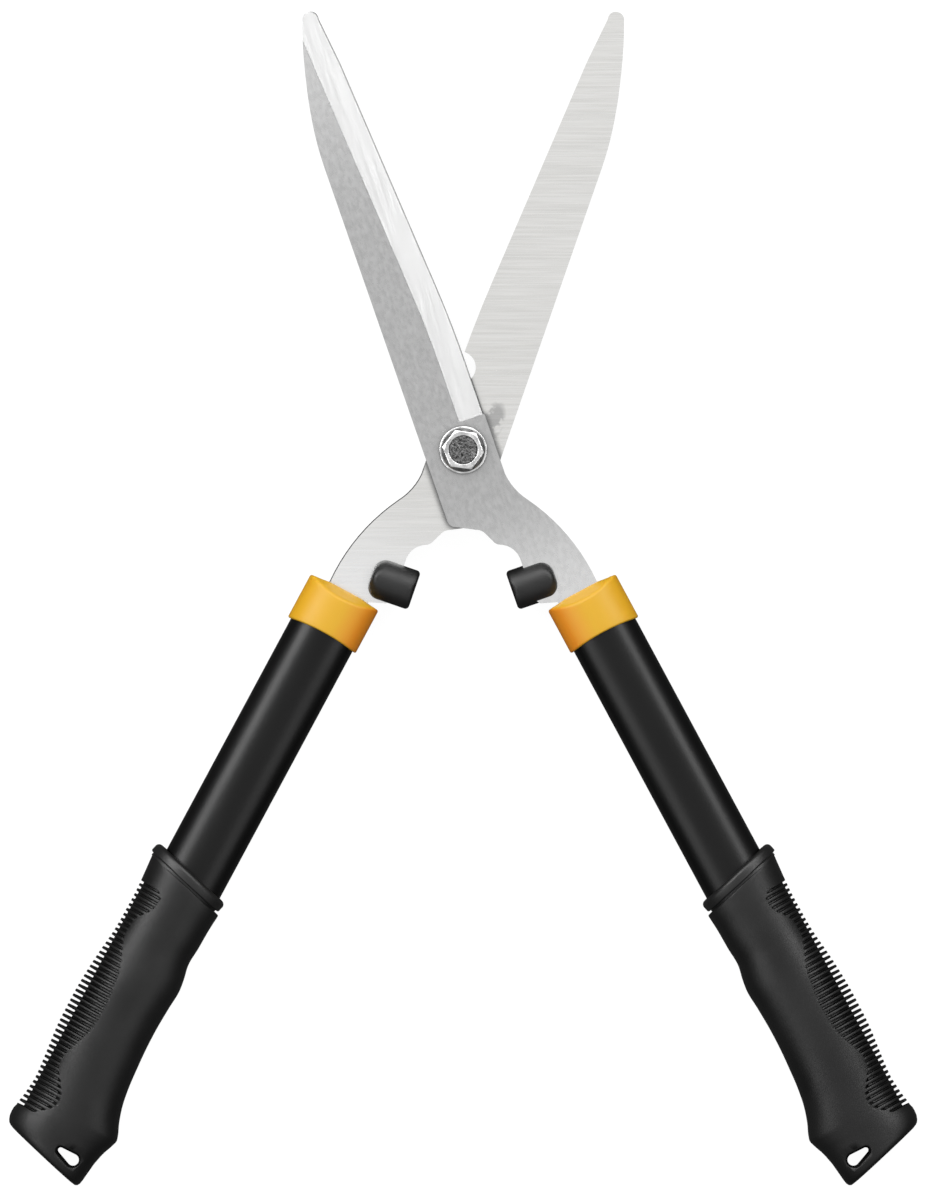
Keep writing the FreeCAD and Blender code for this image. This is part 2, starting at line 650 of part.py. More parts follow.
def cut_finger_grooves(body):
    """A row of straight grooves across the outer side of the grip."""
    half_width = size("Sizes.groove_width / 2")
    floor = size("Sizes.groove_floor")
    first = -size("Sizes.groove_down")
    beyond = floor + CLEAR
    sketch = new_sketch(body, "XY_Plane")
    draw_polygon(
        sketch,
        (floor, first - half_width),
        (beyond, first - half_width),
        (beyond, first + half_width),
        (floor, first + half_width),
    )
    groove = cut(body, sketch, both=True)
    row = body.newObject("PartDesign::LinearPattern", f"{body.Name}_grooves")
    row.Originals = [groove]
    row.Direction = (sketch, ["V_Axis"])
    row.Reversed = True
    row.Mode = "Extent"
    row.setExpression("Length", "Sizes.groove_pitch * (Sizes.groove_count - 1)")
    row.Occurrences = int(size("Sizes.groove_count"))
    body.Tip = row


# ---------------------------------------------------------------- pivot

def ring_sketch(body, inner, outer, bottom, top):
    """Half section of a plain ring about the Z axis."""
    sketch = new_sketch(body, "XZ_Plane")
    draw_polygon(sketch, (inner, bottom), (outer, bottom), (outer, top), (inner, top))
    return sketch


def make_pivot():
    shank = size("Sizes.bolt_diameter / 2")
    blade_top = size("Sizes.shear_gap / 2 + Sizes.blade_thickness")
    washer_bottom = blade_top + size("Sizes.washer_gap")
    washer_top = washer_bottom + size("Sizes.washer_thickness")
    spring_top = washer_top + size("Sizes.spring_height")
    nut_top = spring_top + size("Sizes.nut_height")

    bolt = new_body("pivot_bolt", IN_LOWER_BLADE)
    head = size("Sizes.head_diameter / 2")
    head_bottom = -blade_top - size("Sizes.head_height")
    bolt_top = nut_top + size("Sizes.bolt_end")
    chamfer = size("Sizes.bolt_chamfer")
    profile = new_sketch(bolt, "XZ_Plane")
    draw_outline(
        profile,
        (0, head_bottom),
        ("arc", (head * DOME_REACH, head_bottom + DOME_DROP), (head, -blade_top - size("Sizes.head_rim"))),
        ("line", (head, -blade_top)),
        ("line", (shank, -blade_top)),
        ("line", (shank, bolt_top - chamfer)),
        ("line", (shank - chamfer, bolt_top)),
        ("line", (0, bolt_top)),
    )
    revolve(bolt, profile)
    neck = new_sketch(bolt, "XY_Plane", lift="-Sizes.shear_gap / 2")
    draw_polygon(neck, (-shank, -shank), (shank, -shank), (shank, shank), (-shank, shank))
    extrude(bolt, neck, "Pad", "Sizes.blade_thickness", back=True)
    parts.append(bolt)

    washer = new_body("pivot_washer", AT_PIVOT)
    revolve(washer, ring_sketch(washer, shank, size("Sizes.washer_diameter / 2"), washer_bottom, washer_top))
    parts.append(washer)

    spring = new_body("spring_washer", AT_PIVOT)
    rim = size("Sizes.spring_diameter / 2")
    cone = new_sketch(spring, "XZ_Plane")
    draw_polygon(
        cone,
        (rim - size("Sizes.spring_foot"), washer_top),
        (rim, washer_top),
        (rim, washer_top + size("Sizes.spring_rim")),
        (shank + size("Sizes.spring_land"), spring_top),
        (shank, spring_top),
        (shank, spring_top - size("Sizes.spring_sheet")),
    )
    revolve(spring, cone)
    parts.append(spring)

    nut = new_body("pivot_nut", AT_PIVOT)
    hexagon = new_sketch(nut, "XY_Plane", lift=str(spring_top))
    corner = size("Sizes.nut_flats / 2") / math.cos(math.radians(30))
    turns = [math.radians(size("Sizes.nut_turn") + 60 * step) for step in range(6)]
    draw_polygon(hexagon, *[(corner * math.cos(turn), corner * math.sin(turn)) for turn in turns])
    extrude(nut, hexagon, "Pad", "Sizes.nut_height")
    bore = new_sketch(nut, "XY_Plane")
    draw_circle(bore, 0, 0, "Sizes.bolt_diameter")
    cut(nut, bore, both=True)
    parts.append(nut)


# ---------------------------------------------------------------- assembly and export

def check_and_export():
    doc.recompute()
    for item in doc.Objects:
        if "Invalid" in item.State or "Error" in item.State:
            raise RuntimeError(f"{item.Name} failed: {item.State}")
    os.makedirs("parts", exist_ok=True)
    for body in parts:
        shape = body.Shape
        if shape.isNull() or not shape.isValid() or len(shape.Solids) != 1:
            raise RuntimeError(f"{body.Label} is not one valid solid")
        shape.exportStep(f"parts/{body.Label}.step")
        print(f"{body.Label}: {shape.Volume:.0f} mm3")


for half in ("upper", "lower"):
    make_blade(half)
    make_bumper(half)
    make_collar(half)
    make_tube(half)
    for face, side in (("front", 1), ("back", -1)):
        make_insert(half, face, side)
    make_pin(half)
    make_grip_core(half)
    make_grip_cover(half)
make_pivot()
check_and_export()
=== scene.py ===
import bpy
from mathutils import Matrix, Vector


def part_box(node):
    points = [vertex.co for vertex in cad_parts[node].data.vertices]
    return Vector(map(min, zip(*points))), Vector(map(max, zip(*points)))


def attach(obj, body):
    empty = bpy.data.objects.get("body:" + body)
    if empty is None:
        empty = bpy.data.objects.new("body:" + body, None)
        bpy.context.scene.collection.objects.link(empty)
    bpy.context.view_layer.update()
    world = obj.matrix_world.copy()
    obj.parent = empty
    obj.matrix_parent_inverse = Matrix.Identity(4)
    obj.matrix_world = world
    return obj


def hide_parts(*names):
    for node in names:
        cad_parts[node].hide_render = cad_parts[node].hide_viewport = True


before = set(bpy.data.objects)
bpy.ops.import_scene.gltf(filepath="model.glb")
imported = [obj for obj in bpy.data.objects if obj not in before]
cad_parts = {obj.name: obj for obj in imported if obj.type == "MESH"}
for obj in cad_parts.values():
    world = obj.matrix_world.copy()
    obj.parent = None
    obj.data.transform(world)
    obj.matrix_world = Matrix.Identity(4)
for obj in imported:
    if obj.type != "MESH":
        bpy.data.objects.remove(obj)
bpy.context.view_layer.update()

import math

import bmesh
import bpy
import numpy as np
from mathutils import Matrix, Vector
from mathutils.noise import fractal

# Hedge shears. Each piece is drawn in millimetres in the frame of its half and then placed:
# the blade frame has the pivot at its origin, the blade along +Y and the cutting edge on +X;
# the handle frame has Y up the middle of the tube and X away from the other handle.

MM = 0.001
OPEN_ANGLE = math.radians(19.0)
HANDLE_ANGLE = math.radians(9.27)
HANDLE_OFFSET = 16.4
BODY = {"upper": "upper_half", "lower": "lower_half"}

nut_low, nut_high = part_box("pivot_nut")
shear_level = (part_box("upper_blade")[0][2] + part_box("lower_blade")[1][2]) / 2
PIVOT = Vector(((nut_low[0] + nut_high[0]) / 2, (nut_low[1] + nut_high[1]) / 2, shear_level))


def blade_place(half):
    """Blade frame of a half, without its scale."""
    if half == "upper":
        return Matrix.Translation(PIVOT) @ Matrix.Rotation(OPEN_ANGLE, 4, "Z")
    turn = Matrix.Rotation(-OPEN_ANGLE, 4, "Z") @ Matrix.Rotation(math.pi, 4, "Y")
    return Matrix.Translation(PIVOT) @ turn


def handle_place(half):
    offset = Matrix.Translation((HANDLE_OFFSET * MM, 0, 0))
    return blade_place(half) @ Matrix.Rotation(HANDLE_ANGLE, 4, "Z") @ offset


PIVOT_PLACE = Matrix.Translation(PIVOT)


# ---------------------------------------------------------------- nodes

def node(tree, kind, sockets=None, **settings):
    """A shader node. A socket value that is itself a socket is linked."""
    made = tree.nodes.new("ShaderNode" + kind)
    for name, value in settings.items():
        setattr(made, name, value)
    for name, value in (sockets or {}).items():
        if isinstance(value, bpy.types.NodeSocket):
            tree.links.new(value, made.inputs[name])
        else:
            made.inputs[name].default_value = value
    return made


def new_material(name):
    material = bpy.data.materials.new(name)
    material.use_nodes = True
    material.node_tree.nodes.clear()
    return material, material.node_tree


def finish(tree, shader):
    output = node(tree, "OutputMaterial")
    tree.links.new(shader.outputs[0], output.inputs["Surface"])


def coordinates(tree, rotation=(0, 0, 0), location=(0, 0, 0)):
    """Object coordinates, turned and moved."""
    source = node(tree, "TexCoord").outputs["Object"]
    return node(tree, "Mapping", {"Vector": source, "Rotation": rotation, "Location": location}).outputs[0]


def stretched(tree, vector, scale):
    return node(tree, "Mapping", {"Vector": vector, "Scale": scale}).outputs[0]


def turned_direction(tree, vector, rotation):
    """A direction turned into another frame."""
    sockets = {"Vector": vector, "Rotation": rotation}
    return node(tree, "Mapping", sockets, vector_type="VECTOR").outputs[0]


def parts_of(tree, vector):
    """The X, Y and Z of a vector."""
    return node(tree, "SeparateXYZ", {0: vector}).outputs


def grey_level(tree, level):
    """A grey whose level is a socket."""
    return node(tree, "CombineColor", {0: level, 1: level, 2: level}).outputs[0]


def noise(tree, vector, scale, detail=3.0, roughness=0.55):
    sockets = {"Vector": vector, "Scale": scale, "Detail": detail, "Roughness": roughness}
    return node(tree, "TexNoise", sockets).outputs[0]


def calc(tree, operation, first, second=0.0, third=0.0):
    return node(tree, "Math", {0: first, 1: second, 2: third}, operation=operation).outputs[0]


def span(tree, value, start, end, low=0.0, high=1.0, smooth=False):
    """The value carried from start...end to low...high, kept inside."""
    sockets = {"Value": value, "From Min": start, "From Max": end, "To Min": low, "To Max": high}
    kind = "SMOOTHSTEP" if smooth else "LINEAR"
    return node(tree, "MapRange", sockets, interpolation_type=kind).outputs[0]


def blend_colour(tree, factor, first, second, mode="MIX"):
    made = node(tree, "Mix", data_type="RGBA", blend_type=mode)
    for index, value in ((0, factor), (6, first), (7, second)):
        if isinstance(value, bpy.types.NodeSocket):
            tree.links.new(value, made.inputs[index])
        else:
            made.inputs[index].default_value = value
    return made.outputs[2]


def bump(tree, height, distance, strength=1.0):
    return node(tree, "Bump", {"Height": height, "Distance": distance, "Strength": strength}).outputs[0]


def mean(tree, first, second, share):
    """Share of the first and the rest of the second."""
    return calc(tree, "MULTIPLY_ADD", first, share, calc(tree, "MULTIPLY", second, 1 - share))


def distance_from(tree, place, centre, reach):
    """Distance from a centre, in units of the reach along each axis."""
    scale = [1 / side for side in reach]
    location = [-middle / side for middle, side in zip(centre, reach)]
    moved = node(tree, "Mapping", {"Vector": place, "Scale": scale, "Location": location}).outputs[0]
    return node(tree, "VectorMath", {0: moved}, operation="LENGTH").outputs["Value"]


def grey(level):
    return (level, level, level, 1.0)


# ---------------------------------------------------------------- materials

GRAIN_SCALE = 2600


def moulded(name, dark, light, roughness, ior, grain=0.00004, mottle=60):
    """Moulded plastic or rubber: fine surface grain and slow colour and gloss changes."""
    material, tree = new_material(name)
    place = coordinates(tree)
    slow = noise(tree, place, mottle, 4)
    fine = noise(tree, place, GRAIN_SCALE, 2)
    tint = span(tree, calc(tree, "ADD", slow, calc(tree, "MULTIPLY", fine, 0.35)), 0.45, 0.95)
    rough = span(tree, slow, 0.3, 0.7, roughness - 0.05, roughness + 0.06)
    sockets = {
        "Base Color": blend_colour(tree, tint, dark, light),
        "Roughness": rough,
        "IOR": ior,
        "Normal": bump(tree, fine, grain),
    }
    finish(tree, node(tree, "BsdfPrincipled", sockets))
    return material


ORANGE_LIGHT = (0.475, 0.262, 0.012, 1)
# The two deeper oranges are painted shade for the collar's sides.
ORANGE_OUTER_SHADE = (0.52, 0.262, 0.006, 1)
ORANGE_INNER_SHADE = (0.55, 0.185, 0.007, 1)


def collar_plastic(half):
    """Translucent moulded colour, with painted shade: deeper orange where the wall turns away to the sides.
    """
    material, tree = new_material(f"{half}_collar_plastic")
    place = coordinates(tree)
    slow = noise(tree, place, 45, 4)
    fine = noise(tree, place, GRAIN_SCALE, 2)
    turn = handle_place(half).inverted().to_euler()
    facing = turned_direction(tree, node(tree, "TexCoord").outputs["Normal"], turn)
    # Painted shade: the orange deepens as the wall faces further to either side.
    across = calc(tree, "ADD", parts_of(tree, facing)[0], span(tree, slow, 0.3, 0.7, -0.04, 0.04))
    colour = blend_colour(tree, span(tree, across, -0.12, -0.62), ORANGE_LIGHT, ORANGE_INNER_SHADE)
    colour = blend_colour(tree, span(tree, across, 0.35, 0.95), colour, ORANGE_OUTER_SHADE)
    sockets = {
        "Base Color": colour,
        "Roughness": span(tree, slow, 0.3, 0.7, 0.42, 0.5),
        "IOR": 1.40,
        "Subsurface Weight": 0.12,
        "Subsurface Radius": (0.004, 0.0015, 0.0003),
        "Subsurface Scale": 0.3,
        "Normal": bump(tree, fine, 0.00002),
    }
    finish(tree, node(tree, "BsdfPrincipled", sockets))
    return material


def coated_tube(half):
    """Black powder coat: drawn-out marks along the tube and fine texture."""
    material, tree = new_material(f"{half}_tube_coating")
    along = coordinates(tree, rotation=handle_place(half).inverted().to_euler())
    fine = noise(tree, along, 2200, 2)
    drawn = noise(tree, stretched(tree, along, (1, 0.04, 1)), 900, 3)
    slow = noise(tree, stretched(tree, along, (1, 0.3, 1)), 40, 3)
    height = calc(tree, "ADD", calc(tree, "MULTIPLY", drawn, 0.35), fine)
    sockets = {
        "Base Color": blend_colour(tree, span(tree, slow, 0.3, 0.7), grey(0.0006), grey(0.0012)),
        "Roughness": span(tree, slow, 0.3, 0.7, 0.28, 0.35),
        "IOR": 1.34,
        "Normal": bump(tree, height, 0.00002),
    }
    finish(tree, node(tree, "BsdfPrincipled", sockets))
    return material


BEVEL_FACING = (0.16, 0.22)
DARK_PATCH_CENTRE = (-0.0085, 0.0165, 0.0)
DARK_PATCH_REACH = (0.0046, 0.0085, 0.01)
INNER_DARK = (0.75, 0.745, 0.727, 1)
INNER_LIGHT = (0.808, 0.803, 0.787, 1)
# Angle of the grinding lines on the inner face against a line square to the blade.
GRIND_TURN = math.radians(19)
BEVEL_TURN = math.radians(3)
RIM_WIDTH = 0.9
# Where painted shade darkens the rim on the cutting side: from nowhere to fully, along the blade from the
# pivot.
PAINTED_RIM_SHADE = {"upper": (0.0115, 0.0125), "lower": (-0.010, -0.014)}


def painted_rim_shade_mask(tree, facing, turn):
    """1 along the sharp rims that face the cutting side, where a dark line of shade is painted; found by
    how a softened normal turns.
    """
    softened = node(tree, "Bevel", {"Radius": RIM_WIDTH * MM}, samples=8).outputs[0]
    settings = {"vector_type": "NORMAL", "convert_from": "WORLD", "convert_to": "OBJECT"}
    softened = node(tree, "VectorTransform", {0: softened}, **settings).outputs[0]
    softened = turned_direction(tree, softened, turn)
    turned_out = calc(tree, "SUBTRACT", parts_of(tree, softened)[0], facing[0])
    return span(tree, turned_out, 0.05, 0.20)


def blade_steel(half):
    """Ground steel: mottled outer face, bright ground bevel, cross-ground inner face."""
    material, tree = new_material(f"{half}_blade_steel")
    to_blade = blade_place(half).inverted()
    turn = to_blade.to_euler()
    place = coordinates(tree, rotation=turn, location=to_blade.translation)
    facing = parts_of(tree, turned_direction(tree, node(tree, "TexCoord").outputs["Normal"], turn))
    along = parts_of(tree, place)[1]
    outer = span(tree, facing[2], -0.2, 0.2)
    bevel = calc(tree, "MULTIPLY", span(tree, facing[0], *BEVEL_FACING), outer)

    def drawn_out(scale, rotation, fineness, detail):
        turned = node(tree, "Mapping", {"Vector": place, "Rotation": (0, 0, rotation)}).outputs[0]
        return noise(tree, stretched(tree, turned, scale), fineness, detail)

    lengthwise = drawn_out((1, 0.10, 1), 0, 900, 4)
    mottle = drawn_out((1, 0.55, 1), 0, 520, 5)
    crosswise = drawn_out((0.02, 1, 1), GRIND_TURN, 1500, 3)
    broad_cross = drawn_out((0.03, 1, 1), GRIND_TURN, 420, 4)
    along_bevel = drawn_out((1, 0.03, 1), BEVEL_TURN, 900, 3)

    # The outer face gets lighter towards the tip, and both faces get a painted highlight towards the
    # collar.
    outer_tone = mean(tree, lengthwise, mottle, 0.5)
    outer_colour = blend_colour(tree, span(tree, outer_tone, 0.38, 0.62), grey(0.487), grey(0.528))
    towards_tip = span(tree, along, 0.10, 0.20, smooth=True)
    painted_collar_sheen = span(tree, along, -0.020, -0.078, smooth=True)
    outer_colour = blend_colour(tree, towards_tip, outer_colour, grey(0.66))
    outer_colour = blend_colour(tree, painted_collar_sheen, outer_colour, grey(0.76))
    bevel_colour = blend_colour(tree, span(tree, along_bevel, 0.35, 0.65), grey(0.78), grey(0.84))
    inner_tone = mean(tree, crosswise, broad_cross, 0.55)
    inner_colour = blend_colour(tree, span(tree, inner_tone, 0.38, 0.60), INNER_DARK, INNER_LIGHT)
    inner_colour = blend_colour(tree, painted_collar_sheen, inner_colour, grey(0.90))
    # A ragged dark patch on the inner face near the pivot.
    dark_patch = span(tree, distance_from(tree, place, DARK_PATCH_CENTRE, DARK_PATCH_REACH), 0.75, 1.15, 1.0, 0.0)
    ragged = span(tree, drawn_out((1, 1, 1), 0, 160, 3), 0.44, 0.52)
    dark_patch = calc(tree, "MULTIPLY", calc(tree, "MULTIPLY", dark_patch, ragged), 0.7)
    inner_colour = blend_colour(tree, dark_patch, inner_colour, grey(0.36))
    colour = blend_colour(tree, bevel, outer_colour, bevel_colour)
    colour = blend_colour(tree, outer, inner_colour, colour)

    # Painted contact shadow: dark where the other blade lies close by, but not on the bevel or low on the
    # tang.
    occlusion = node(tree, "AmbientOcclusion", {"Distance": 0.003}, samples=12).outputs["AO"]
    unshadowed = span(tree, occlusion, 0.55, 0.95)
    unshadowed = calc(tree, "MAXIMUM", unshadowed, span(tree, along, -0.040, -0.050))
    colour = blend_colour(tree, calc(tree, "MAXIMUM", unshadowed, bevel), grey(0.22), colour)
    # Painted shade: a dark line along the rims that face the cutting side.
    rim_shade = calc(tree, "MULTIPLY", painted_rim_shade_mask(tree, facing, turn), span(tree, along, *PAINTED_RIM_SHADE[half]))
    colour = blend_colour(tree, rim_shade, colour, grey(0.015))

    inner_rough = span(tree, crosswise, 0.3, 0.7, 0.26, 0.30)
    outer_rough = span(tree, mottle, 0.3, 0.7, 0.24, 0.32)
    rough = blend_colour(tree, outer, inner_rough, outer_rough)
    rough = blend_colour(tree, bevel, rough, span(tree, along_bevel, 0.3, 0.7, 0.135, 0.15))
    height = blend_colour(tree, bevel, blend_colour(tree, outer, crosswise, mottle), grey(0.5))
    sockets = {
        "Base Color": colour,
        "Metallic": 1.0,
        "Roughness": rough,
        "Normal": bump(tree, height, 0.00002, 0.5),
    }
    finish(tree, node(tree, "BsdfPrincipled", sockets))
    return material


def metal(name, dark, light, roughness, scale=500, depth=0.00003):
    """Plated or bare metal with clouded colour, uneven gloss and a fine surface."""
    material, tree = new_material(name)
    place = coordinates(tree)
    cloud = noise(tree, place, scale, 5, 0.6)
    fine = noise(tree, place, scale * 4, 3)
    sockets = {
        "Base Color": blend_colour(tree, span(tree, cloud, 0.35, 0.65), dark, light),
        "Metallic": 1.0,
        "Roughness": span(tree, cloud, 0.3, 0.7, roughness - 0.06, roughness + 0.08),
        "Normal": bump(tree, fine, depth),
    }
    finish(tree, node(tree, "BsdfPrincipled", sockets))
    return material


def rough_bolt():
    """Bolt end: dark scale with light scratches and flecks."""
    material, tree = new_material("bolt_steel")
    place = coordinates(tree)
    patches = noise(tree, place, 900, 8, 0.75)
    wander = node(tree, "TexNoise", {"Vector": place, "Scale": 260.0}).outputs["Color"]
    bent = blend_colour(tree, 0.004, place, wander, "ADD")
    off_line = calc(tree, "ABSOLUTE", calc(tree, "SUBTRACT", noise(tree, bent, 420, 1), 0.5))
    lines = span(tree, off_line, 0.0, 0.012, 1.0, 0.0)
    lines = calc(tree, "MULTIPLY", lines, span(tree, noise(tree, place, 380, 2), 0.5, 0.58))
    flecks = span(tree, noise(tree, place, 2600, 4, 0.7), 0.60, 0.68)
    light = calc(tree, "MAXIMUM", lines, flecks)
    tone = blend_colour(tree, span(tree, patches, 0.42, 0.58), grey(0.010), grey(0.14))
    sockets = {
        "Base Color": blend_colour(tree, calc(tree, "MULTIPLY", light, 0.9), tone, grey(0.62)),
        "Metallic": 0.85,
        "Roughness": span(tree, patches, 0.3, 0.7, 0.5, 0.35),
        "Normal": bump(tree, patches, 0.00015),
    }
    finish(tree, node(tree, "BsdfPrincipled", sockets))
    return material


MATERIALS = {
    "bumper_rubber": moulded("bumper_rubber", grey(0.001), grey(0.002), 0.47, 1.48, mottle=120),
    "grip_soft": moulded("grip_soft", grey(0.0022), grey(0.0045), 0.40, 1.40, grain=0.00005, mottle=35),
    "grip_hard": moulded("grip_hard", grey(0.003), grey(0.005), 0.40, 1.49, mottle=60),
    "insert_plastic": moulded("insert_plastic", grey(0.02), grey(0.04), 0.5, 1.45),
    "pin_steel": metal("pin_steel", grey(0.5), grey(0.65), 0.35),
    "nut_zinc": metal("nut_zinc", grey(0.50), grey(0.86), 0.22, 260, 0.00005),
    "spring_steel": metal("spring_steel", grey(0.16), grey(0.34), 0.38, 600),
    "bolt_steel": rough_bolt(),
}
for half in BODY:
    MATERIALS[f"{half}_blade_steel"] = blade_steel(half)
    MATERIALS[f"{half}_tube_coating"] = coated_tube(half)
    MATERIALS[f"{half}_collar_plastic"] = collar_plastic(half)


def use_material(piece, material):
    piece.data.materials.clear()
    piece.data.materials.append(material)


# ---------------------------------------------------------------- meshes

def build(name, rings, place, slot, body, nodes, loop=False, sharp=35):
    """A smooth closed mesh through rings of points in millimetres, capped or joined end to end.

    Edges sharper than the given degrees stay crisp. Without a slot it is a tool for cutting.
    """
    rings = np.asarray(rings, float)
    count, around = rings.shape[:2]
    mesh = bmesh.new()
    points = [mesh.verts.new(point) for point in rings.reshape(-1, 3) * MM]
    for ring in range(count if loop else count - 1):
        for step in range(around):
            here, after = ring * around, (ring + 1) % count * around
            across = (step + 1) % around
            corners = (here + step, here + across, after + across, after + step)
            mesh.faces.new([points[corner] for corner in corners])
    if not loop:
        mesh.faces.new(points[:around][::-1])
        mesh.faces.new(points[-around:])
    bmesh.ops.recalc_face_normals(mesh, faces=mesh.faces)
    if mesh.calc_volume(signed=True) < 0:
        bmesh.ops.reverse_faces(mesh, faces=mesh.faces)
    data = bpy.data.meshes.new(name)
    mesh.to_mesh(data)
    mesh.free()
    data.transform(place)
    piece = bpy.data.objects.new(name, data)
    bpy.context.scene.collection.objects.link(piece)
    data.shade_smooth()
    data.set_sharp_from_angle(angle=math.radians(sharp))
    if slot is not None:
        half_slot = f"{name.split('_')[0]}_{slot}"
        use_material(piece, MATERIALS.get(half_slot) or MATERIALS[slot])
        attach(piece, body)
        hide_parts(*nodes)
    return piece


def carve(piece, cutter):
    """Take the cutter out of the piece, and out of the scene."""
    boolean = piece.modifiers.new("carve", "BOOLEAN")
    boolean.operation = "DIFFERENCE"
    boolean.solver = "EXACT"
    boolean.object = cutter
    graph = bpy.context.evaluated_depsgraph_get()
    carved = bpy.data.meshes.new_from_object(piece.evaluated_get(graph))
    piece.modifiers.remove(boolean)
    piece.data = carved
    bpy.data.objects.remove(cutter)


def fine_angles(fine, coarse, half_span):
    """Angles once around, packed closer within half_span of 0."""
    near = np.linspace(-half_span, half_span, fine, endpoint=False)
    far = np.linspace(half_span, 2 * math.pi - half_span, coarse, endpoint=False)
    return np.concatenate([near, far])


ROUND = np.linspace(0, 2 * math.pi, 128, endpoint=False)


def oval_ring(left, right, half_depth, angles=ROUND):
    """An oval between two points of the XY plane, standing half_depth out of it."""
    left, right = np.asarray(left, float), np.asarray(right, float)
    middle, reach = (left + right) / 2, (right - left) / 2
    plane = middle + np.outer(np.cos(angles), reach)
    return np.column_stack([plane, half_depth * np.sin(angles)])


def level_oval(y, half_width, half_depth):
    """An oval around the middle line, square to it."""
    return oval_ring((-half_width, y), (half_width, y), half_depth)


def follow(table, at):
    """A smooth line through (position, value) rows, read at the given positions."""
    table = np.asarray(sorted(table), float)
    xs, ys = table[:, 0], table[:, 1]
    slopes = np.gradient(ys, xs)
    at = np.clip(np.asarray(at, float), xs[0], xs[-1])
    left = np.clip(np.searchsorted(xs, at, "right") - 1, 0, len(xs) - 2)
    width = xs[left + 1] - xs[left]
    t = (at - xs[left]) / width
    start, end = (1 + 2 * t) * (1 - t) ** 2, t * t * (3 - 2 * t)
    return (
        start * ys[left] + end * ys[left + 1]
        + t * (1 - t) ** 2 * width * slopes[left] - t * t * (1 - t) * width * slopes[left + 1]
    )


def smoothstep(value):
    value = np.clip(value, 0, 1)
    return value * value * (3 - 2 * value)


# ---------------------------------------------------------------- tube and collar

TUBE_HALF_WIDTH, TUBE_HALF_DEPTH, TUBE_WALL = 15.5, 10.0, 1.2
TUBE_TOP, TUBE_FOOT = -85.0, -345.0


def make_tube(half):
    """The oval tube, outside from top to foot and back up its bore."""
    rings = []
    for inset, levels in ((0, np.linspace(TUBE_TOP, TUBE_FOOT, 27)), (TUBE_WALL, (TUBE_FOOT, TUBE_TOP))):
        rings += [level_oval(y, TUBE_HALF_WIDTH - inset, TUBE_HALF_DEPTH - inset) for y in levels]
    name, replaced = f"{half}_handle_tube", [f"{half}_tube"]
    build(name, rings, handle_place(half), "tube_coating", BODY[half], replaced, loop=True)


COLLAR_HALF_WIDTH, COLLAR_HALF_DEPTH = 17.05, 11.55
COLLAR_TOP, COLLAR_FOOT = -79.4, -101.9
COLLAR_RIDGE, COLLAR_SLOPE = 4.4, 0.578
COLLAR_SHOULDER_START, COLLAR_SHOULDER_WIDTH, COLLAR_SHOULDER_DROP = 11.5, 5.5, 0.9
COLLAR_HOLLOW = 1.5
COLLAR_TOP_ROUND, COLLAR_FOOT_ROUND = 1.1, 0.8
# Insets of the rings on the collar's top, from the middle out to where its edge starts to round.
COLLAR_TOP_INSETS = (11.0, 9.5, 8.0, 6.8, 5.5, 4.2, 3.0, 2.0, 1.3)


def collar_top(ring):
    """Level of the top: a ridge across the middle, sloping to both faces and falling at both sides."""
    slope = COLLAR_SLOPE * np.maximum(0, np.abs(ring[:, 2]) - COLLAR_RIDGE)
    outward = (np.abs(ring[:, 0]) - COLLAR_SHOULDER_START) / COLLAR_SHOULDER_WIDTH
    return COLLAR_TOP - slope - COLLAR_SHOULDER_DROP * smoothstep(outward)


def collar_foot(ring):
    return COLLAR_FOOT + COLLAR_HOLLOW * (1 - (ring[:, 0] / COLLAR_HALF_WIDTH) ** 2)


def collar_oval(inset):
    return level_oval(0, COLLAR_HALF_WIDTH - inset, COLLAR_HALF_DEPTH - inset)


def collar_top_ring(inset, down=0.0):
    ring = collar_oval(inset)
    under_edge = collar_oval(0)
    under_edge[:, 2] *= 1 - inset / COLLAR_HALF_DEPTH
    ring[:, 1] = collar_top(under_edge) - down
    return ring


def collar_foot_ring(inset, up):
    ring = collar_oval(inset)
    ring[:, 1] = collar_foot(collar_oval(0)) + up
    return ring


def make_collar(half):
    """The collar, from the middle of its top over the rounded edges to its bore."""
    rings = [collar_top_ring(inset) for inset in COLLAR_TOP_INSETS]
    for angle in np.radians((8, 22, 36, 50, 64, 78, 90)):
        inset = COLLAR_TOP_ROUND * (1 - math.sin(angle))
        rings.append(collar_top_ring(inset, COLLAR_TOP_ROUND * (1 - math.cos(angle))))
    top = rings[-1].copy()
    foot = top.copy()
    foot[:, 1] = collar_foot(top) + COLLAR_FOOT_ROUND
    rings += [top * (1 - share) + foot * share for share in np.linspace(0, 1, 9)[1:]]
    for angle in np.radians((25, 50, 75, 90)):
        inset = COLLAR_FOOT_ROUND * (1 - math.cos(angle))
        rings.append(collar_foot_ring(inset, COLLAR_FOOT_ROUND * (1 - math.sin(angle))))
    rings.append(collar_foot_ring(COLLAR_HALF_WIDTH - TUBE_HALF_WIDTH - 0.04, 0.05))
    bore = rings[-1].copy()
    bore[:, 1] = TUBE_TOP
    rings.append(bore)
    name, replaced = f"{half}_tube_collar", [f"{half}_collar"]
    build(name, rings, handle_place(half), "collar_plastic", BODY[half], replaced)


# ---------------------------------------------------------------- grip

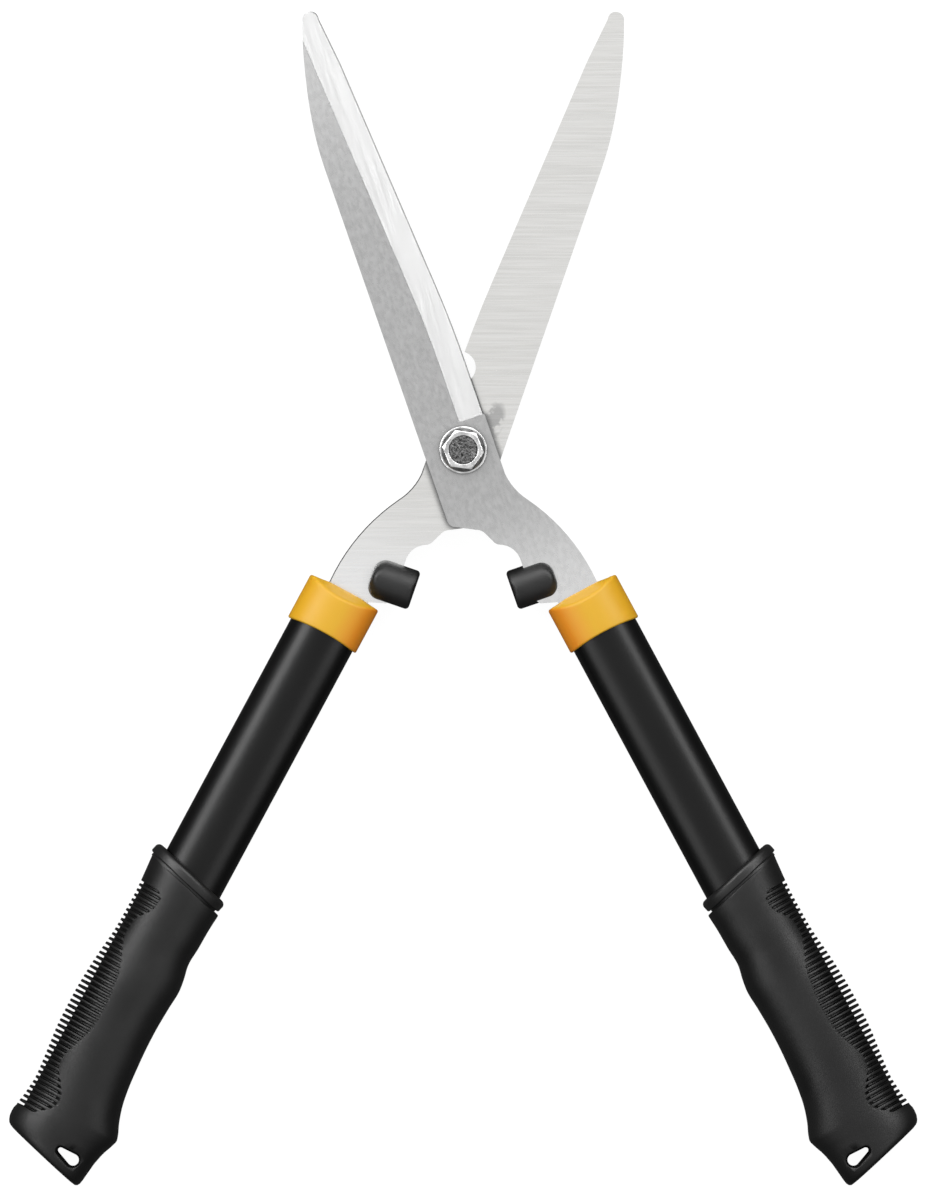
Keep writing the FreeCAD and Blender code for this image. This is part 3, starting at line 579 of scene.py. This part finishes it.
GRIP_TILT = math.radians(14.6)
LIP_CENTRE = np.array((0.6, -221.9))
LIP_HALF_WIDTH, LIP_HALF_DEPTH, LIP_THICKNESS = 20.15, 15.0, 4.9
LIP_TOP_ROUND, LIP_UNDER_ROUND = 2.1, 0.7
NECK_HALF_WIDTH, NECK_HALF_DEPTH, NECK_HEIGHT = 18.8, 13.0, 1.3
SLEEVE_HALF_WIDTH, SLEEVE_HALF_DEPTH = 16.9, 11.3
SLEEVE_TOP, SLEEVE_FOOT = -236.0, -348.0
ALONG_LIP = np.array((math.cos(GRIP_TILT), math.sin(GRIP_TILT)))
UNDER_LIP = np.array((math.sin(GRIP_TILT), -math.cos(GRIP_TILT)))


def tilted_ring(down, half_width, half_depth):
    """An oval parallel to the lip, some way under the lip's top face."""
    middle = LIP_CENTRE + down * UNDER_LIP
    reach = half_width * ALONG_LIP
    return oval_ring(middle - reach, middle + reach, half_depth)


def make_lip(half):
    """The hard core: a rounded lip, the groove under it, and the sleeve inside the grip."""
    rings = [
        tilted_ring(0.15, TUBE_HALF_WIDTH + 0.25, TUBE_HALF_DEPTH + 0.05),
        tilted_ring(0.0, TUBE_HALF_WIDTH + 0.8, TUBE_HALF_DEPTH + 0.6),
    ]
    for angle in np.radians(np.linspace(0, 90, 9)):
        inset = LIP_TOP_ROUND * (1 - math.sin(angle))
        down = LIP_TOP_ROUND * (1 - math.cos(angle))
        rings.append(tilted_ring(down, LIP_HALF_WIDTH - inset, LIP_HALF_DEPTH - inset))
    for angle in np.radians(np.linspace(0, 90, 5)):
        inset = LIP_UNDER_ROUND * (1 - math.cos(angle))
        down = LIP_THICKNESS - LIP_UNDER_ROUND * (1 - math.sin(angle))
        rings.append(tilted_ring(down, LIP_HALF_WIDTH - inset, LIP_HALF_DEPTH - inset))
    rings.append(tilted_ring(LIP_THICKNESS, NECK_HALF_WIDTH, NECK_HALF_DEPTH))
    rings.append(tilted_ring(LIP_THICKNESS + NECK_HEIGHT, NECK_HALF_WIDTH, NECK_HALF_DEPTH))
    rings.append(tilted_ring(LIP_THICKNESS + NECK_HEIGHT + 0.1, SLEEVE_HALF_WIDTH, SLEEVE_HALF_DEPTH))
    rings += [level_oval(y, SLEEVE_HALF_WIDTH, SLEEVE_HALF_DEPTH) for y in (SLEEVE_TOP, SLEEVE_FOOT)]
    rings += [level_oval(y, TUBE_HALF_WIDTH, TUBE_HALF_DEPTH) for y in (SLEEVE_FOOT, SLEEVE_TOP)]
    name, replaced = f"{half}_grip_lip", [f"{half}_grip_core"]
    build(name, rings, handle_place(half), "grip_hard", BODY[half], replaced, loop=True)


# Grip cover: level along the handle, inner edge, outer edge (over the ribs), half depth.
GRIP_ROWS = (
    (-222.0, -19.0, 20.1, 13.6),
    (-233.5, -18.5, 19.2, 13.7),
    (-240.0, -18.0, 18.8, 13.6),
    (-250.0, -17.7, 18.8, 13.6),
    (-259.0, -17.3, 19.0, 13.6),
    (-265.0, -18.5, 19.5, 13.8),
    (-270.0, -19.2, 20.1, 14.0),
    (-280.0, -18.7, 21.0, 14.4),
    (-290.0, -18.3, 21.5, 14.6),
    (-300.0, -18.4, 21.5, 14.7),
    (-310.0, -19.0, 21.2, 14.6),
    (-320.0, -19.9, 20.2, 14.4),
    (-328.0, -21.3, 19.4, 14.1),
    (-335.0, -23.5, 19.0, 13.9),
    (-340.0, -25.6, 19.4, 13.7),
    (-342.3, -26.2, 19.6, 13.6),
    (-345.0, -25.5, 20.0, 13.5),
    (-349.2, -23.9, 20.8, 13.3),
)
# Butt: inner corner, outer corner, half depth, one row per ring, from the last rib to the end face.
BUTT_ROWS = (
    ((-23.2, -351.5), (21.15, -350.6), 13.25),
    ((-22.2, -356.0), (21.2, -352.6), 13.1),
    ((-21.6, -361.0), (21.0, -354.6), 12.9),
    ((-21.2, -364.6), (20.4, -356.3), 12.6),
    ((-20.8, -366.6), (19.7, -357.4), 12.1),
    ((-20.2, -367.7), (18.8, -358.1), 11.5),
    ((-19.2, -368.25), (17.5, -358.7), 10.6),
    ((-17.6, -368.0), (16.0, -359.1), 9.2),
    ((-13.0, -366.8), (11.5, -360.35), 6.5),
    ((-6.0, -365.0), (5.0, -362.05), 2.5),
)
# Inner limit of the ribbed field across the handle.
RIB_FIELD = (
    (-234.6, 12.5), (-237.0, 8.6), (-241.0, 7.5), (-245.0, 8.8), (-250.0, 12.6), (-256.0, 14.0),
    (-262.0, 13.5), (-268.0, 11.0), (-275.0, 8.5), (-285.0, 6.9), (-296.0, 6.4), (-304.0, 7.2),
    (-312.0, 9.8), (-320.0, 12.4), (-326.0, 11.5), (-332.0, 7.3), (-338.0, 4.5), (-342.0, 5.5),
    (-346.0, 10.0), (-349.0, 14.0),
)
FIRST_GROOVE, GROOVE_PITCH, GROOVE_COUNT = -236.05, 2.475, 46
GROOVE_FLOOR, GROOVE_FLOOR_DEPTH = 17.5, 11.2
GROOVE_RUN_OUT = 0.9
# Across one rib and groove: distance from the groove's middle, share of the groove's depth.
GROOVE_SHAPE = (
    (-0.68, 0.0), (-0.61, 0.3), (-0.52, 0.9), (-0.34, 1.0), (0.0, 1.0), (0.34, 1.0),
    (0.52, 0.9), (0.61, 0.3), (0.68, 0.0), (0.86, -0.035), (1.2375, -0.05), (1.61, -0.035),
)
# The grip's top edge: distance below the neck, inset.
GRIP_TOP_EDGE = ((0.0, 3.5), (0.0, 1.2), (0.0, 0.55), (0.1, 0.22), (0.35, 0.05), (0.7, 0.0))
GRIP_TOP_REACH = 19.6
RIBS_TOP = -235.15
LAST_RIB = ((-24.0, -348.9), (20.6, -348.9), 13.3)
GRIP_ANGLES = fine_angles(112, 52, math.radians(84))


def grip_edge(column, levels):
    return follow([(row[0], row[column]) for row in GRIP_ROWS], levels)


def grip_ring(left_y, right_y, inset=0.0):
    left = (grip_edge(1, left_y) + inset, left_y)
    right = (grip_edge(2, right_y) - inset, right_y)
    return oval_ring(left, right, grip_edge(3, (left_y + right_y) / 2) - inset, GRIP_ANGLES)


def ribbed_ring(y, share):
    """A ring square to the handle, let down to the groove floor inside the ribbed field."""
    ring = grip_ring(y, y)
    floor = np.column_stack([
        GROOVE_FLOOR * np.cos(GRIP_ANGLES), ring[:, 1], GROOVE_FLOOR_DEPTH * np.sin(GRIP_ANGLES),
    ])
    inside = smoothstep((ring[:, 0] - follow(RIB_FIELD, y)) / GROOVE_RUN_OUT)
    return ring + (floor - ring) * (inside * share)[:, None]


def make_grip(half):
    """The soft sleeve: sloped top edge, ribbed length, and the butt with its hanging hole."""
    rings = []
    for down, inset in GRIP_TOP_EDGE:
        middle = LIP_CENTRE + (LIP_THICKNESS + NECK_HEIGHT + down) * UNDER_LIP
        ends = [(middle + side * GRIP_TOP_REACH * ALONG_LIP)[1] for side in (-1, 1)]
        rings.append(grip_ring(*ends, inset))
    for share in np.linspace(0, 1, 7)[1:]:
        rings.append(grip_ring(*[level + (RIBS_TOP - level) * share for level in ends]))
    for groove in range(GROOVE_COUNT):
        for offset, share in GROOVE_SHAPE:
            rings.append(ribbed_ring(FIRST_GROOVE - GROOVE_PITCH * groove - offset, share))
    # The last rib runs straight into the butt, so its three rings go.
    rings = rings[:-3]
    for left, right, half_depth in (LAST_RIB, *BUTT_ROWS):
        rings.append(oval_ring(left, right, half_depth, GRIP_ANGLES))
    name, replaced = f"{half}_grip_sleeve", [f"{half}_grip_cover"]
    grip = build(name, rings, handle_place(half), "grip_soft", BODY[half], replaced, sharp=50)
    carve(grip, hole_cutter(half))


HOLE_WIDE, HOLE_WIDE_RADIUS = np.array((-13.0, -358.75)), 2.65
HOLE_NARROW, HOLE_NARROW_RADIUS = np.array((-6.35, -357.55)), 1.35
# Rim of the hole: height over the face of the butt, growth of the outline.
HOLE_FLARE = (
    (2.0, 2.0), (0.3, 1.6), (0.0, 1.2), (-0.35, 0.9), (-0.8, 0.68),
    (-1.5, 0.5), (-3.0, 0.32), (-6.0, 0.12), (-9.0, 0.0),
)
BUTT_MIDDLE, BUTT_HALF_WIDTH, BUTT_HALF_DEPTH = -0.5, 21.7, 13.0


def teardrop(grow):
    """Two arcs joined by their common tangents, grown outwards."""
    step = HOLE_NARROW - HOLE_WIDE
    along = math.atan2(step[1], step[0])
    swing = math.acos((HOLE_WIDE_RADIUS - HOLE_NARROW_RADIUS) / np.linalg.norm(step))
    outline = []
    for centre, radius, start, end in (
        (HOLE_WIDE, HOLE_WIDE_RADIUS + grow, along + swing, along + 2 * math.pi - swing),
        (HOLE_NARROW, HOLE_NARROW_RADIUS + grow, along - swing, along + swing),
    ):
        turns = np.linspace(start, end, 25)
        outline.append(centre + radius * np.column_stack([np.cos(turns), np.sin(turns)]))
    return np.vstack(outline)


def hole_cutter(half):
    """The hanging hole, with its rims rolled over on both faces."""
    rings = []
    for side in (1, -1):
        stack = []
        for rise, grow in HOLE_FLARE:
            outline = teardrop(grow)
            across = (outline[:, 0] - BUTT_MIDDLE) / BUTT_HALF_WIDTH
            face = BUTT_HALF_DEPTH * np.sqrt(np.clip(1 - across ** 2, 0.02, 1))
            stack.append(np.column_stack([outline, side * (face + rise)]))
        rings += stack if side == 1 else stack[::-1]
    return build("cutter", rings, handle_place(half), None, None, None)


# ---------------------------------------------------------------- bumper

BUMPER_LEFT, BUMPER_WIDTH = 0.15, 20.15
BUMPER_TOP, BUMPER_LENGTH = -57.0, 17.9
BUMPER_HALF_DEPTH, BUMPER_ROUND = 8.0, 3.0
BUMPER_INNER_CORNER, BUMPER_OUTER_CORNER = 1.7, 5.5
# 2 makes the barrel's section an ellipse, and less makes its shoulders fall away sooner.
BARREL_POWER = 1.95


def rounded_box(left, right, bottom, top):
    """Outline with small corners on the left and large ones on the right."""
    limit = 0.49 * (top - bottom)
    inner, outer = min(BUMPER_INNER_CORNER, limit), min(BUMPER_OUTER_CORNER, limit)
    corners = (
        ((right - outer, top - outer), outer, 90, 0),
        ((right - outer, bottom + outer), outer, 0, -90),
        ((left + inner, bottom + inner), inner, -90, -180),
        ((left + inner, top - inner), inner, 180, 90),
    )
    outline = []
    for (x, y), radius, start, end in corners:
        turns = np.radians(np.linspace(start, end, 9))
        outline.append(np.column_stack([x + radius * np.cos(turns), y + radius * np.sin(turns)]))
    return np.vstack(outline)


def make_bumper(half):
    """A barrel across the tool with softly rounded ends."""
    left, right = BUMPER_LEFT, BUMPER_LEFT + BUMPER_WIDTH
    top, bottom = BUMPER_TOP, BUMPER_TOP - BUMPER_LENGTH
    rings = []
    for turn in np.linspace(-1, 1, 61) * math.radians(86.5):
        level = BUMPER_HALF_DEPTH * math.sin(turn)
        share = (1 - abs(math.sin(turn)) ** BARREL_POWER) ** (1 / BARREL_POWER)
        squeeze = BUMPER_LENGTH / 2 * (1 - share)
        over = max(0.0, abs(level) - BUMPER_HALF_DEPTH + BUMPER_ROUND) / BUMPER_ROUND
        tuck = BUMPER_ROUND * (1 - math.sqrt(max(0.0, 1 - over * over)))
        outline = rounded_box(left + tuck, right - tuck, bottom + squeeze, top - squeeze)
        rings.append(np.column_stack([outline, np.full(len(outline), level)]))
    name, replaced = f"{half}_stop_bumper", [f"{half}_bumper"]
    build(name, rings, blade_place(half), "bumper_rubber", BODY[half], replaced)


# ---------------------------------------------------------------- pivot

BLADE_TOP = 3.7
WASHER_BOTTOM, WASHER_TOP = 3.8, 4.8
SPRING_TOP, NUT_TOP, BOLT_TOP = 6.6, 12.8, 13.05
SHANK_RADIUS = 6.25
NUT_HALF_FLATS = 8.1
NUT_TURN = math.radians(52.5)
# The nut's corners are turned down outside this radius.
NUT_SHOULDER = NUT_HALF_FLATS * 1.045
WASHER_RADIUS, SPRING_RADIUS = 10.5, 9.7
HEAD_RADIUS, HEAD_RIM, HEAD_DOME = 12.0, 0.9, 3.3
BOLT_EDGE = SHANK_RADIUS - 0.45
CIRCLE = np.linspace(0, 2 * math.pi, 144, endpoint=False)


def turned_ring(radius, level):
    radius = np.broadcast_to(np.asarray(radius, float), CIRCLE.shape)
    level = np.broadcast_to(np.asarray(level, float), CIRCLE.shape)
    return np.column_stack([radius * np.cos(CIRCLE), radius * np.sin(CIRCLE), level])


def build_turned(name, profile, slot, replaced, loop=True):
    """A piece on the pivot's axis through (radius, level) pairs; either may vary around the circle."""
    rings = [turned_ring(radius, level) for radius, level in profile]
    build(name, rings, PIVOT_PLACE, slot, "lower_half", [replaced], loop=loop)


def make_nut():
    flat = np.mod(CIRCLE - NUT_TURN, math.pi / 3) - math.pi / 6
    hexagon = NUT_HALF_FLATS / np.cos(flat)
    shoulder = np.minimum(hexagon, NUT_SHOULDER)
    drop = 0.5 * np.maximum(0, hexagon - NUT_SHOULDER)
    build_turned("hexagon_nut", (
        (SHANK_RADIUS + 0.02, SPRING_TOP),
        (SHANK_RADIUS + 0.02, NUT_TOP - 0.35),
        (SHANK_RADIUS + 0.18, NUT_TOP - 0.06),
        (SHANK_RADIUS + 0.30, NUT_TOP),
        (shoulder - 0.3, NUT_TOP),
        (shoulder - 0.08, NUT_TOP - 0.07),
        (hexagon - 0.05, NUT_TOP - drop - 0.1),
        (hexagon, NUT_TOP - drop - 0.25),
        (hexagon, SPRING_TOP + 0.15),
        (hexagon - 0.15, SPRING_TOP),
    ), "nut_zinc", "pivot_nut")


def make_washers():
    build_turned("flat_washer", (
        (SHANK_RADIUS, WASHER_TOP),
        (WASHER_RADIUS - 0.35, WASHER_TOP),
        (WASHER_RADIUS - 0.12, WASHER_TOP - 0.08),
        (WASHER_RADIUS, WASHER_TOP - 0.3),
        (WASHER_RADIUS, WASHER_BOTTOM + 0.25),
        (WASHER_RADIUS - 0.2, WASHER_BOTTOM),
        (SHANK_RADIUS, WASHER_BOTTOM),
    ), "nut_zinc", "pivot_washer")
    build_turned("cone_washer", (
        (SHANK_RADIUS, SPRING_TOP),
        (SHANK_RADIUS + 1.55, SPRING_TOP),
        (SPRING_RADIUS - 0.15, WASHER_TOP + 0.55),
        (SPRING_RADIUS, WASHER_TOP + 0.4),
        (SPRING_RADIUS, WASHER_TOP + 0.02),
        (SPRING_RADIUS - 0.8, WASHER_TOP + 0.02),
        (SHANK_RADIUS, SPRING_TOP - 1.0),
    ), "spring_steel", "spring_washer")


def make_bolt():
    """Rough bolt end above, shank, and the domed head behind."""
    profile = []
    for radius in np.linspace(0.25, BOLT_EDGE, 30):
        pits = [fractal(Vector(point) * 1.3, 0.9, 2.1, 4) for point in turned_ring(radius, 0.0)]
        profile.append((radius, BOLT_TOP - 0.08 + 0.09 * np.clip(pits, -1, 1)))
    profile += [
        (SHANK_RADIUS - 0.25, BOLT_TOP - 0.08),
        (SHANK_RADIUS - 0.06, BOLT_TOP - 0.25),
        (SHANK_RADIUS, BOLT_TOP - 0.5),
        (SHANK_RADIUS, -BLADE_TOP),
        (HEAD_RADIUS, -BLADE_TOP),
        (HEAD_RADIUS, -BLADE_TOP - HEAD_RIM),
    ]
    for turn in np.radians(np.linspace(10, 84, 10)):
        profile.append((HEAD_RADIUS * math.cos(turn), -BLADE_TOP - HEAD_RIM - HEAD_DOME * math.sin(turn)))
    build_turned("pivot_bolt_end", profile, "bolt_steel", "pivot_bolt", loop=False)


# ---------------------------------------------------------------- assembly

for half in BODY:
    make_tube(half)
    make_collar(half)
    make_lip(half)
    make_grip(half)
    make_bumper(half)
    use_material(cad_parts[f"{half}_blade"], MATERIALS[f"{half}_blade_steel"])
    for face in ("front", "back"):
        use_material(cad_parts[f"{half}_tang_insert_{face}"], MATERIALS["insert_plastic"])
    use_material(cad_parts[f"{half}_tang_pin"], MATERIALS["pin_steel"])
make_nut()
make_washers()
make_bolt()


# ---------------------------------------------------------------- floor, light and camera

FLOOR_REACH = 3.0
FLOOR_DROP = 0.0005


def make_floor():
    """A pale sheet. It shines only towards the camera, so that it doesn't light the black parts."""
    data = bpy.data.meshes.new("floor")
    corners = [(x * FLOOR_REACH, y * FLOOR_REACH, 0) for x, y in ((-1, -1), (1, -1), (1, 1), (-1, 1))]
    data.from_pydata(corners, [], [(0, 1, 2, 3)])
    floor = bpy.data.objects.new("floor", data)
    bpy.context.scene.collection.objects.link(floor)
    floor.location.z = -FLOOR_DROP
    material, tree = new_material("floor")
    tone = span(tree, noise(tree, coordinates(tree), 3, 2), 0.3, 0.7, 0.07, 0.08)
    seen = node(tree, "LightPath").outputs["Is Camera Ray"]
    sockets = {
        "Base Color": grey_level(tree, tone),
        "Roughness": 0.9,
        "IOR": 1.1,
        "Emission Color": grey(1.0),
        "Emission Strength": calc(tree, "MULTIPLY", seen, 0.96),
    }
    finish(tree, node(tree, "BsdfPrincipled", sockets))
    use_material(floor, material)


def make_world():
    """Soft grey studio, brightest overhead and dim near the horizon."""
    world = bpy.data.worlds.new("studio")
    world.use_nodes = True
    tree = world.node_tree
    tree.nodes.clear()
    upward = parts_of(tree, node(tree, "TexCoord").outputs["Generated"])[2]
    level = span(tree, upward, 0.25, 0.88, 0.12, 0.75, smooth=True)
    background = node(tree, "Background", {"Color": grey_level(tree, level), "Strength": 1.0})
    output = node(tree, "OutputWorld")
    tree.links.new(background.outputs[0], output.inputs[0])
    bpy.context.scene.world = world


LIGHT_DISTANCE = 2.2


def add_softbox(name, azimuth, tilt, width, height, power):
    """An area light aimed at the middle, tilt degrees away from straight overhead."""
    data = bpy.data.lights.new(name, "AREA")
    data.shape = "RECTANGLE"
    data.size, data.size_y = width, height
    data.energy = power
    light = bpy.data.objects.new(name, data)
    bpy.context.scene.collection.objects.link(light)
    around, lean = math.radians(azimuth), math.radians(tilt)
    outward = Vector((math.sin(lean) * math.cos(around), math.sin(lean) * math.sin(around), math.cos(lean)))
    spot = LIGHT_DISTANCE * outward
    light.location = spot
    light.rotation_euler = spot.to_track_quat("Z", "Y").to_euler()


FRAMED_HEIGHT = 0.5316
# Where the middle of the picture falls, in the shared frame.
CAMERA_AIM = (0.0008, -0.0002)


def make_camera():
    """Straight down from far away, with the whole of the shears in a tall frame."""
    data = bpy.data.cameras.new("camera")
    data.lens = 500.0
    data.sensor_width = 36.0
    data.clip_end = 20.0
    camera = bpy.data.objects.new("camera", data)
    bpy.context.scene.collection.objects.link(camera)
    distance = FRAMED_HEIGHT * data.lens / data.sensor_width
    camera.location = (*CAMERA_AIM, shear_level + distance)
    bpy.context.scene.camera = camera


make_floor()
make_world()
add_softbox("key_right", 28, 43, 1.0, 0.55, 12)
add_softbox("key_left", 152, 43, 1.0, 0.75, 23)
add_softbox("bank_top", 90, 48, 3.0, 1.2, 52)
add_softbox("fill_left", -152, 42, 0.5, 1.0, 6)
add_softbox("fill_right", -28, 42, 0.5, 1.0, 3.5)
make_camera()
bpy.context.scene.view_settings.view_transform = "Standard"
